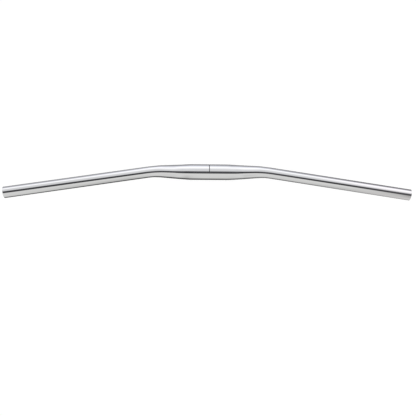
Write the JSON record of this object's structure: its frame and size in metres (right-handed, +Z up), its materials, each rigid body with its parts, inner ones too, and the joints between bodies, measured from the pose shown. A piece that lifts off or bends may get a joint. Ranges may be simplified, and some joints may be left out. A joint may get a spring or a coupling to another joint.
{
  "type": "riser handlebar",
  "caption": "Riser handlebar of polished tube: a wide clamp seat tapers through rising bends into straight grips that sweep up and back to open ends.",
  "frame": {"origin": "centre of the clamp seat, on its axis", "axes": "+X along the clamp seat to the rider's right-hand end, +Y forward in riding direction, +Z up, the way the bar rises"},
  "size_m": [0.8, 0.0715, 0.0718],
  "materials": {
    "bar": "mirror polished"
  },
  "bodies": {
    "root": {"handlebar": "bar"}
  },
  "joints": []
}
